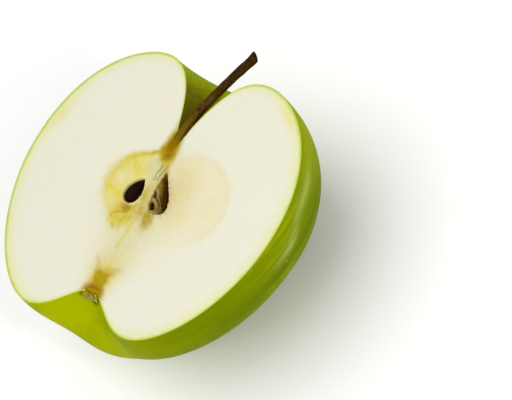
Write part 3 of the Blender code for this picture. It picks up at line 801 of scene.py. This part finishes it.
def makeHairs(material):
    # down scattered over half a disc round the flower, pointing out and away from the core
    c = calyx
    count = c["hairs"]
    rng = np.random.default_rng(c["seed"] + 1)
    a = np.radians(rng.uniform(-178, -2, count))
    radius = rng.uniform(*c["hairSpread"], count)
    roots = np.stack([radius * np.cos(a), rng.uniform(-0.7, 0.5, count), radius * np.sin(a)], -1)
    roots = roots + np.array(c["middle"]) * np.array([1, 1, 0.3])
    ways = np.stack([np.cos(a) * 0.5, rng.uniform(-1.6, -0.5, count), np.sin(a) * 0.4], -1)
    ways = ways + rng.normal(0, 0.35, (count, 3))
    lengths = rng.uniform(*c["hairLength"], count)
    bends = rng.normal(0, 0.3, (count, 3))
    roots[:, 2] = np.minimum(roots[:, 2], -0.15)       # nothing grows up through the face
    ways[:, 2] = np.minimum(ways[:, 2], 0.12)
    return spikes("calyx_hairs", roots, ways, lengths, c["hairRadius"], bends, material)


def makeStamens(material):
    # a half ring of thicker threads out of the flower's middle
    c = calyx
    count = c["stamens"]
    rng = np.random.default_rng(c["seed"] + 2)
    a = np.radians(np.linspace(-170, -12, count))
    ring = c["stamenRing"]
    roots = np.stack([ring * np.cos(a), np.full(count, -0.2), ring * np.sin(a)], -1)
    roots = roots + np.array(c["stamenRoots"])
    ways = np.stack([np.cos(a) * 0.25, np.full(count, -1.0), np.sin(a) * 0.25], -1)
    ways = ways + rng.normal(0, 0.12, (count, 3))
    lengths = rng.uniform(*c["stamenLength"], count)
    bends = rng.normal(0, 0.35, (count, 3))
    radius = c["stamenRadius"]
    return spikes("calyx_stamens", roots, ways, lengths, radius, bends, material, sides=7, rows=8)


# finishes

def rgb(red, green, blue):
    # screen colour 0 to 255 into linear light
    out = [((c / 255 + 0.055) / 1.055) ** 2.4 if c > 10 else c / 255 / 12.92 for c in (red, green, blue)]
    return (*out, 1.0)


class Finish:
    # a material, with short ways to add the nodes that these finishes share
    def __init__(self, name):
        self.material = bpy.data.materials.new(name)
        self.material.use_nodes = True
        self.tree = self.material.node_tree
        self.shader = self.tree.nodes["Principled BSDF"]
        self.coords = self.tree.nodes.new("ShaderNodeTexCoord").outputs["Object"]

    def put(self, target, value):
        if isinstance(value, bpy.types.NodeSocket):
            self.tree.links.new(value, target)
        else:
            target.default_value = value

    def add(self, kind, inputs):
        node = self.tree.nodes.new(kind)
        for key, value in inputs.items():
            self.put(node.inputs[key], value)
        return node

    def noise(self, scale, detail=3.0, rough=0.55, stretch=None, warp=0.0, source=None):
        source = self.coords if source is None else source
        if stretch:
            stretched = self.add("ShaderNodeMapping", {"Vector": source, "Scale": stretch})
            source = stretched.outputs["Vector"]
        inputs = {"Vector": source, "Scale": scale, "Detail": detail, "Roughness": rough, "Distortion": warp}
        return self.add("ShaderNodeTexNoise", inputs).outputs["Fac"]

    def cells(self, scale):
        return self.add("ShaderNodeTexVoronoi", {"Vector": self.coords, "Scale": scale}).outputs

    def field(self, name):
        node = self.tree.nodes.new("ShaderNodeAttribute")
        node.attribute_name = name
        return node.outputs["Fac"]

    def ramp(self, value, low, high, outLow=0.0, outHigh=1.0):
        inputs = {"Value": value, "From Min": low, "From Max": high, "To Min": outLow, "To Max": outHigh}
        node = self.add("ShaderNodeMapRange", inputs)
        node.interpolation_type = "SMOOTHSTEP"
        return node.outputs["Result"]

    def math(self, kind, a, b, clamp=False):
        node = self.add("ShaderNodeMath", {0: a, 1: b})
        node.operation = kind
        node.use_clamp = clamp
        return node.outputs[0]

    def plus(self, a, b):
        return self.math("ADD", a, b)

    def times(self, a, b, clamp=False):
        return self.math("MULTIPLY", a, b, clamp)

    def shifted(self, value, noise, amount):
        # value + (noise - 0.5) * amount
        return self.plus(value, self.times(self.math("SUBTRACT", noise, 0.5), amount))

    def mix(self, amount, a, b, kind="MIX"):
        node = self.tree.nodes.new("ShaderNodeMix")
        node.data_type = "RGBA"
        node.blend_type = kind
        for place, value in ((0, amount), (6, a), (7, b)):
            self.put(node.inputs[place], value)
        return node.outputs[2]

    def bump(self, height, strength, distance, under=None):
        node = self.add("ShaderNodeBump", {"Height": height, "Strength": strength, "Distance": distance})
        if under is not None:
            self.put(node.inputs["Normal"], under)
        return node.outputs["Normal"]

    def done(self, inputs):
        # sets the shader and hands the material over
        for key, value in inputs.items():
            self.put(self.shader.inputs[key], value)
        return self.material


fleshFinish = {
    "cream": rgb(228, 227, 205), "creamCool": rgb(225, 228, 208), "creamWarm": rgb(230, 226, 199),
    "rimTint": rgb(216, 223, 132), "rimTintReach": 3.8, "rimLine": rgb(208, 218, 100), "rimLineReach": 0.8,
    # the near-white cell colour is a painted highlight on the juicy cells
    "shade": (0.965, 0.955, 0.985, 1.0), "cellGlint": rgb(255, 255, 250),
    "surface": {
        "IOR": 1.14, "Specular Tint": (1.0, 0.96, 0.45, 1.0),
        "Subsurface Weight": 0.12, "Subsurface Radius": (0.9, 0.8, 0.35), "Subsurface Scale": 0.0004,
    },
    # mark on the face, its colour, how strongly it shows
    "layers": [
        ("rimWarm", rgb(229, 213, 124), 0.62),
        ("veil", rgb(210, 203, 138), 0.70),
        ("halo", rgb(226, 216, 162), 0.76),
        ("haloNear", rgb(212, 197, 132), 0.75),
        ("haloLine", rgb(216, 204, 138), 0.45),
        ("lashes", rgb(172, 150, 72), 0.75),
        ("yellow", rgb(217, 202, 72), 1.15),
        ("lowYellow", rgb(208, 189, 70), 0.95),
        ("olive", rgb(172, 149, 28), 0.95),
        ("streak", rgb(208, 197, 96), 0.80),
        ("coreLine", rgb(206, 191, 48), 1.0),
        ("lineFoot", rgb(186, 162, 6), 0.95),
        ("paleGreen", rgb(208, 205, 152), 0.85),
        ("spine", rgb(203, 195, 126), 0.85),
        ("middleYellow", rgb(192, 170, 62), 0.90),
        ("darkLine", rgb(150, 144, 66), 0.85),
        ("brownLine", rgb(164, 136, 20), 0.50),
        ("amber", rgb(166, 132, 0), 0.98),
        ("rightArm", rgb(184, 156, 22), 0.90),
        ("stemGlow", rgb(192, 174, 44), 0.80),
        ("stemStain", rgb(176, 146, 0), 1.0),
        ("stemBrown", rgb(138, 100, 0), 0.85),
        ("calyxGlow", rgb(214, 197, 78), 0.95),
        ("calyxStain", rgb(174, 148, 0), 1.05),
        ("calyxBrown", rgb(140, 96, 0), 0.90),
        ("chamberSide", rgb(186, 167, 78), 0.80),
        # chamber floor and green strip: the membranes' own colours, partly painted shade of the hollow
        ("chamber", rgb(138, 116, 36), 0.97),
        ("paleBand", rgb(180, 160, 100), 0.85),
        ("greenStrip", rgb(130, 118, 0), 1.1),
        ("brownWall", rgb(80, 53, 2), 0.95),
        # painted shade: near-black in the chamber's holes
        ("pitShade", rgb(24, 10, 0), 1.25),
    ],
}


def fleshMaterial():
    # cloudy cream, greener towards the rim, with each mark of the face laid over it in turn
    n = Finish("moist_apple_flesh")
    f = fleshFinish
    colour = n.mix(n.ramp(n.noise(55, 4, 0.6), 0.35, 0.65), f["creamCool"], f["creamWarm"])
    colour = n.mix(0.55, colour, f["cream"])
    ragged = n.shifted(n.field("rimDistance"), n.noise(420, 3), 1.6)
    colour = n.mix(n.ramp(ragged, -0.6, f["rimTintReach"], 0.62, 0.0), colour, f["rimTint"])
    colour = n.mix(n.ramp(ragged, 0.0, f["rimLineReach"], 0.8, 0.0), colour, f["rimLine"])
    grain = n.ramp(n.noise(900, 3), 0.2, 0.7, 0.78, 1.12)
    for name, tint, strength in f["layers"]:
        colour = n.mix(n.times(n.times(n.field(name), grain), strength, clamp=True), colour, tint)
    cells = n.cells(3200)["Distance"]      # juicy cells that catch the light
    # painted highlight: the juicy cells lightened towards white as glints
    colour = n.mix(n.ramp(cells, 0.0, 0.6, 0.035, 0.0), colour, f["cellGlint"])
    colour = n.mix(1.0, colour, f["shade"], "MULTIPLY")
    gloss = n.ramp(n.noise(700, 3), 0.3, 0.7, 0.42, 0.62)
    bumps = n.bump(n.noise(260, 4, 0.6, warp=0.4), 0.25, 0.0002, n.bump(cells, 0.25, 0.00008))
    return n.done({"Base Color": colour, "Roughness": gloss, "Normal": bumps, **f["surface"]})


skinFinish = {
    "bright": rgb(174, 182, 0), "mid": rgb(143, 155, 0), "deep": rgb(94, 112, 0),
    "pale": rgb(164, 176, 10), "cut": rgb(204, 216, 104), "russet": rgb(98, 84, 14),
    "dot": rgb(190, 204, 84), "blush": rgb(160, 140, 10),
    # the pale band colour and its strength are a painted highlight; the shadow colour is painted shadow
    # beside the dried flower
    "paintedSheen": rgb(172, 182, 88), "paintedSheenStrength": 0.62, "shadow": rgb(44, 46, 0), "shadowStrength": 0.9,
    # how strongly painted shade darkens the skin underneath on the right
    "underShadeStrength": 0.55, "paleStreaks": 0.48, "deepStreaks": 0.46, "dotScale": 330, "dotStrength": 0.55,
    "surface": {
        "IOR": 1.03, "Specular Tint": (0.88, 1.0, 0.30, 1.0),      # the waxy gloss keeps some green
        "Subsurface Weight": 0.06, "Subsurface Radius": (0.6, 0.9, 0.1), "Subsurface Scale": 0.0008,
    },
}


def skinMaterial():
    # greens laid over each other by place: along is 0 at the stem and 1 at the calyx, turn is 0 at
    # the right lobe and 1 at the left
    n = Finish("waxy_green_skin")
    f = skinFinish
    along, turn = n.field("along"), n.field("turn")
    cloud = n.noise(38, 4, 0.6, warp=0.6)
    # greener towards the back of the right lobe, yellower towards the calyx of the left one, paler by the
    # right lobe's rim: partly the fruit's own colour, partly painted light and shade, lighter on the lit
    # side and darker on the shaded one
    side = n.shifted(n.plus(n.times(turn, 0.45), n.times(along, 0.75)), cloud, 0.9)
    colour = n.mix(n.ramp(side, 0.35, 0.75), f["deep"], f["mid"])
    colour = n.mix(n.ramp(n.shifted(turn, cloud, 0.05), 0.01, 0.11, 0.62, 0.0), colour, f["mid"])
    colour = n.mix(n.ramp(side, 0.66, 1.08), colour, f["bright"])
    colour = n.mix(n.ramp(n.noise(90, 3, 0.6), 0.50, 0.76, 0.0, 0.4), colour, f["deep"])
    # streaks run from stem to calyx: noise read on turn, hardly on along, weaker at the calyx
    place = {"X": n.plus(n.times(turn, 30.0), n.times(n.noise(24, 2), 1.6)), "Y": n.times(along, 1.6)}
    streak = n.noise(1.9, 5, 0.66, source=n.add("ShaderNodeCombineXYZ", place).outputs["Vector"])
    streak = n.shifted(0.5, streak, n.ramp(along, 0.72, 0.90, 1.0, 0.25))
    colour = n.mix(n.ramp(streak, 0.48, 0.74, 0.0, f["paleStreaks"]), colour, f["pale"])
    colour = n.mix(n.ramp(streak, 0.28, 0.50, f["deepStreaks"], 0.0), colour, f["deep"])
    nearStem = n.times(n.ramp(along, 0.12, 0.40, 1.0, 0.0), n.ramp(streak, 0.38, 0.62, 0.55, 0.80))
    colour = n.mix(nearStem, colour, f["pale"])
    # painted shade: darker underneath on the right, between the painted sheen band and the notch
    under = n.times(n.ramp(along, 0.48, 0.66), n.ramp(along, 0.72, 0.90, 1.0, 0.0))
    under = n.times(under, n.ramp(turn, 0.15, 0.50, 1.0, 0.0))
    colour = n.mix(n.times(under, f["underShadeStrength"]), colour, f["deep"])
    # painted highlight: a pale sheen band beside the right lobe's rim, broken by the streaks and by noise
    paintedSheen = n.times(n.field("paintedSheen"), n.ramp(streak, 0.34, 0.62, 0.55, 1.0))
    paintedSheen = n.times(paintedSheen, n.ramp(n.noise(120, 3), 0.3, 0.6, 0.5, 1.0))
    colour = n.mix(n.times(paintedSheen, f["paintedSheenStrength"]), colour, f["paintedSheen"])
    colour = n.mix(n.ramp(n.noise(210, 2), 0.70, 0.80, 0.0, 0.3), colour, f["blush"])
    # russet deep in the stem's dimple
    russet = n.ramp(n.shifted(along, n.noise(300, 5, 0.7), 0.05), 0.012, 0.050, 0.85, 0.0)
    colour = n.mix(russet, colour, f["russet"])
    # pale breathing dots in some of the cells
    dots = n.cells(f["dotScale"])
    picked = n.add("ShaderNodeSeparateColor", {"Color": dots["Color"]}).outputs["Red"]
    dotMask = n.times(n.ramp(dots["Distance"], 0.055, 0.11, 1.0, 0.0), n.ramp(picked, 0.55, 0.6))
    colour = n.mix(n.times(dotMask, f["dotStrength"]), colour, f["dot"])
    colour = n.mix(n.ramp(n.field("cutEdge"), 0.2, 0.9, 0.0, 0.85), colour, f["cut"])
    colour = n.mix(n.times(n.field("eyeShadow"), f["shadowStrength"], clamp=True), colour, f["shadow"])
    gloss = n.ramp(n.noise(160, 3), 0.3, 0.7, 0.34, 0.44)
    bumps = n.bump(n.noise(700, 3), 0.10, 0.0001, n.bump(n.noise(95, 3), 0.25, 0.0006))
    bumps = n.bump(dotMask, 0.35, 0.00012, bumps)
    return n.done({"Base Color": colour, "Roughness": gloss, "Normal": bumps, **f["surface"]})


stemFinish = {
    "bark": rgb(86, 60, 16), "dark": rgb(46, 26, 6), "grey": rgb(112, 82, 28), "foot": rgb(147, 112, 0),
    "olive": rgb(112, 88, 12), "end": rgb(34, 18, 4), "fleck": rgb(136, 106, 50), "ior": 1.08,
}


def stemMaterial():
    # bark streaked lengthwise; the sliced foot shows olive wood, yellower where it runs into the core
    n = Finish("dry_stem_bark")
    f = stemFinish
    along = n.field("along")
    grain = n.noise(900, 5, 0.65, stretch=(1.0, 0.16, 1.0))
    greyGrain = n.noise(1500, 4, 0.7, stretch=(1.0, 0.3, 1.0))
    flecks = n.noise(3000, 3, 0.7, stretch=(1.0, 0.55, 1.0))
    patch = n.noise(240, 3)
    colour = n.mix(n.ramp(grain, 0.32, 0.68), f["dark"], f["bark"])
    colour = n.mix(n.ramp(greyGrain, 0.56, 0.74, 0.0, 0.7), colour, f["grey"])
    colour = n.mix(n.ramp(flecks, 0.50, 0.66, 0.0, 0.55), colour, f["fleck"])
    colour = n.mix(n.ramp(patch, 0.5, 0.7, 0.0, 0.35), colour, f["dark"])
    cut = n.times(n.field("sliced"), n.ramp(grain, 0.25, 0.75, 1.0, 0.55))
    cut = n.times(cut, n.ramp(along, 0.25, 0.44, 1.0, 0.15))
    colour = n.mix(n.times(cut, 0.9), colour, f["olive"])
    foot = n.shifted(along, patch, 0.10)
    colour = n.mix(n.ramp(foot, 0.14, 0.44, 0.70, 0.0), colour, f["olive"])
    colour = n.mix(n.ramp(foot, 0.06, 0.24, 0.95, 0.0), colour, f["foot"])
    colour = n.mix(n.ramp(along, 0.45, 0.85, 0.0, 0.62), colour, f["dark"])
    colour = n.mix(n.ramp(along, 0.985, 0.998, 0.0, 0.85), colour, f["end"])
    gloss = n.ramp(grain, 0.3, 0.7, 0.85, 0.65)
    bumps = n.bump(grain, 0.7, 0.00022, n.bump(n.noise(2600, 3), 0.3, 0.00006))
    return n.done({"Base Color": colour, "Roughness": gloss, "Normal": bumps, "IOR": f["ior"]})


seedFinish = {
    "dark": rgb(16, 3, 2), "brown": rgb(38, 10, 4), "edge": rgb(80, 40, 10), "warm": rgb(80, 42, 0),
    "surface": {"IOR": 1.12, "Specular Tint": (1.0, 0.72, 0.5, 1.0)},
}


def seedMaterial(name, warmth):
    # a dark coat with lengthwise grain; warmth turns it reddish brown
    n = Finish(name)
    f = seedFinish
    grain = n.noise(800, 4, 0.6, stretch=(1.0, 0.25, 1.0))
    colour = n.mix(n.ramp(grain, 0.35, 0.75), f["dark"], f["brown"])
    colour = n.mix(n.ramp(n.noise(420, 3), 0.3, 0.7, 0.6 * warmth, warmth), colour, f["warm"])
    colour = n.mix(n.ramp(n.field("along"), 0.86, 1.0, 0.0, 0.5), colour, f["edge"])
    gloss, bumps = n.ramp(grain, 0.3, 0.7, 0.30, 0.45), n.bump(grain, 0.25, 0.00008)
    return n.done({"Base Color": colour, "Roughness": gloss, "Normal": bumps, **f["surface"]})


# two tones, the scale of their pattern, roughness, and the height of the relief in metres
dryFinishes = {
    "horny_membrane": {"low": rgb(136, 114, 54), "high": rgb(182, 160, 98), "scale": 900, "roughness": 0.5,
                       "relief": 0.00006, "soft": 0.1},
    "dry_flower_base": {"low": rgb(118, 82, 0), "high": rgb(160, 124, 0), "scale": 1100, "roughness": 0.85,
                        "relief": 0.0001, "top": rgb(164, 138, 0)},
    "dry_sepal": {"low": rgb(156, 146, 22), "high": rgb(206, 196, 90), "scale": 900, "roughness": 0.8,
                  "relief": 0.00008},
    "sepal_down": {"low": rgb(182, 174, 60), "high": rgb(214, 204, 106), "scale": 1500, "roughness": 0.8,
                   "relief": 0.00002},
    "dry_stamen": {"low": rgb(142, 122, 36), "high": rgb(190, 172, 84), "scale": 1500, "roughness": 0.8,
                   "relief": 0.00003},
}


def dryMaterial(name):
    # two tones broken by noise, with a matching fine relief; top is the colour near a tube's first end
    n = Finish(name)
    f = dryFinishes[name]
    pattern = n.noise(f["scale"], 4, 0.65)
    colour = n.mix(n.ramp(pattern, 0.35, 0.68), f["low"], f["high"])
    if "top" in f:
        edge = n.shifted(n.field("along"), pattern, 0.9)
        colour = n.mix(n.ramp(edge, 0.25, 0.65, 1.0, 0.0), colour, f["top"])
    return n.done({
        "Base Color": colour, "Normal": n.bump(pattern, 0.5, f["relief"]), "IOR": 1.2,
        "Roughness": n.ramp(pattern, 0.3, 0.7, f["roughness"], f["roughness"] + 0.15),
        "Subsurface Weight": f.get("soft", 0.0), "Subsurface Radius": (0.5, 0.5, 0.2),
        "Subsurface Scale": 0.0005,
    })


# the set: floor, light and camera

studio = {
    "floor": rgb(252, 252, 252), "floorReach": 3.0, "worldStrength": 0.47,
    "sunStrength": 1.72, "sunAngle": 75, "sunFrom": (-0.30, -0.16, 0.94),
    "sidePower": 0.8, "sideSize": (0.05, 0.40), "sidePlace": (0.42, -0.02, 0.24), "sideAim": (0, 0, 0.02),
    "cameraPlace": (0.310067, -0.090399, 0.405225), "cameraAim": (0.030365, 0.002349, 0.0388),
    "cameraRoll": 46.282, "focalPixels": 2030.0, "pixelsAcross": 512.0, "sensorWidth": 36.0,
}


def addToScene(name, data):
    obj = bpy.data.objects.new(name, data)
    bpy.context.scene.collection.objects.link(obj)
    return obj


def makeFloor():
    s = studio
    reach = s["floorReach"]
    mesh = bpy.data.meshes.new("studio_floor")
    corners = [(-reach, -reach, 0), (reach, -reach, 0), (reach, reach, 0), (-reach, reach, 0)]
    mesh.from_pydata(corners, [], [(0, 1, 2, 3)])
    white = {"Base Color": s["floor"], "Roughness": 0.9, "Specular IOR Level": 0.1}
    mesh.materials.append(Finish("studio_floor_white").done(white))
    addToScene("studio_floor", mesh)


def makeLights():
    # a white world, a wide soft sun as the key and one tall light at the side
    s = studio
    world = bpy.data.worlds.new("studio_world")
    bpy.context.scene.world = world
    world.use_nodes = True
    background = world.node_tree.nodes["Background"]
    background.inputs["Color"].default_value = (1, 1, 1, 1)
    background.inputs["Strength"].default_value = s["worldStrength"]
    sun = bpy.data.lights.new("key_light", "SUN")
    sun.energy, sun.angle = s["sunStrength"], math.radians(s["sunAngle"])
    key = addToScene("key_light", sun)
    key.rotation_euler = Vector(s["sunFrom"]).to_track_quat("Z", "Y").to_euler()
    area = bpy.data.lights.new("side_light", "AREA")
    area.shape = "RECTANGLE"
    area.size, area.size_y = s["sideSize"]
    area.energy = s["sidePower"]
    side = addToScene("side_light", area)
    side.location = s["sidePlace"]
    aim = Vector(s["sideAim"]) - Vector(s["sidePlace"])
    side.rotation_euler = aim.to_track_quat("-Z", "Y").to_euler()


def makeCamera():
    # looks from its place to its aim, rolled about that line; lens = sensor * focal pixels / width
    s = studio
    data = bpy.data.cameras.new("photo_camera")
    data.sensor_width = s["sensorWidth"]
    data.lens = s["sensorWidth"] * s["focalPixels"] / s["pixelsAcross"]
    data.clip_start, data.clip_end = 0.01, 20.0
    camera = addToScene("photo_camera", data)
    place = Vector(s["cameraPlace"])
    look = (Vector(s["cameraAim"]) - place).to_track_quat("-Z", "Y").to_matrix()
    turn = look @ Matrix.Rotation(-math.radians(s["cameraRoll"]), 3, "Z")
    camera.matrix_world = Matrix.Translation(place) @ turn.to_4x4()
    bpy.context.scene.camera = camera
    bpy.context.scene.view_settings.view_transform = "Standard"


makeFloor()
makeLights()
makeCamera()
print("studio ready")


def settle(piece, node):
    # hands a finished piece over to the part, in the place of its plain solid
    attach(piece, "root")
    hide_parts(node)


settle(makeSkin(skinMaterial()), "apple_half")
print("skin made")
settle(makeFlesh(fleshMaterial()), "apple_half")
print("flesh made")
settle(makeStem(stemMaterial()), "stem")
settle(makeSeed("seed_left", seedMaterial("dark_pip_coat", 0.0)), "seed_left")
settle(makeSeed("seed_right", seedMaterial("red_brown_pip_coat", 0.75)), "seed_right")
print("stem and pips made")
horny = dryMaterial("horny_membrane")
for membraneName in membranes:
    piece = makeMembrane(membraneName, horny)
    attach(piece, "root")
settle(makePlug(dryMaterial("dry_flower_base")), "calyx")
settle(makeSepals(dryMaterial("dry_sepal")), "calyx")
settle(makeHairs(dryMaterial("sepal_down")), "calyx")
settle(makeStamens(dryMaterial("dry_stamen")), "calyx")
print("membranes and calyx made")
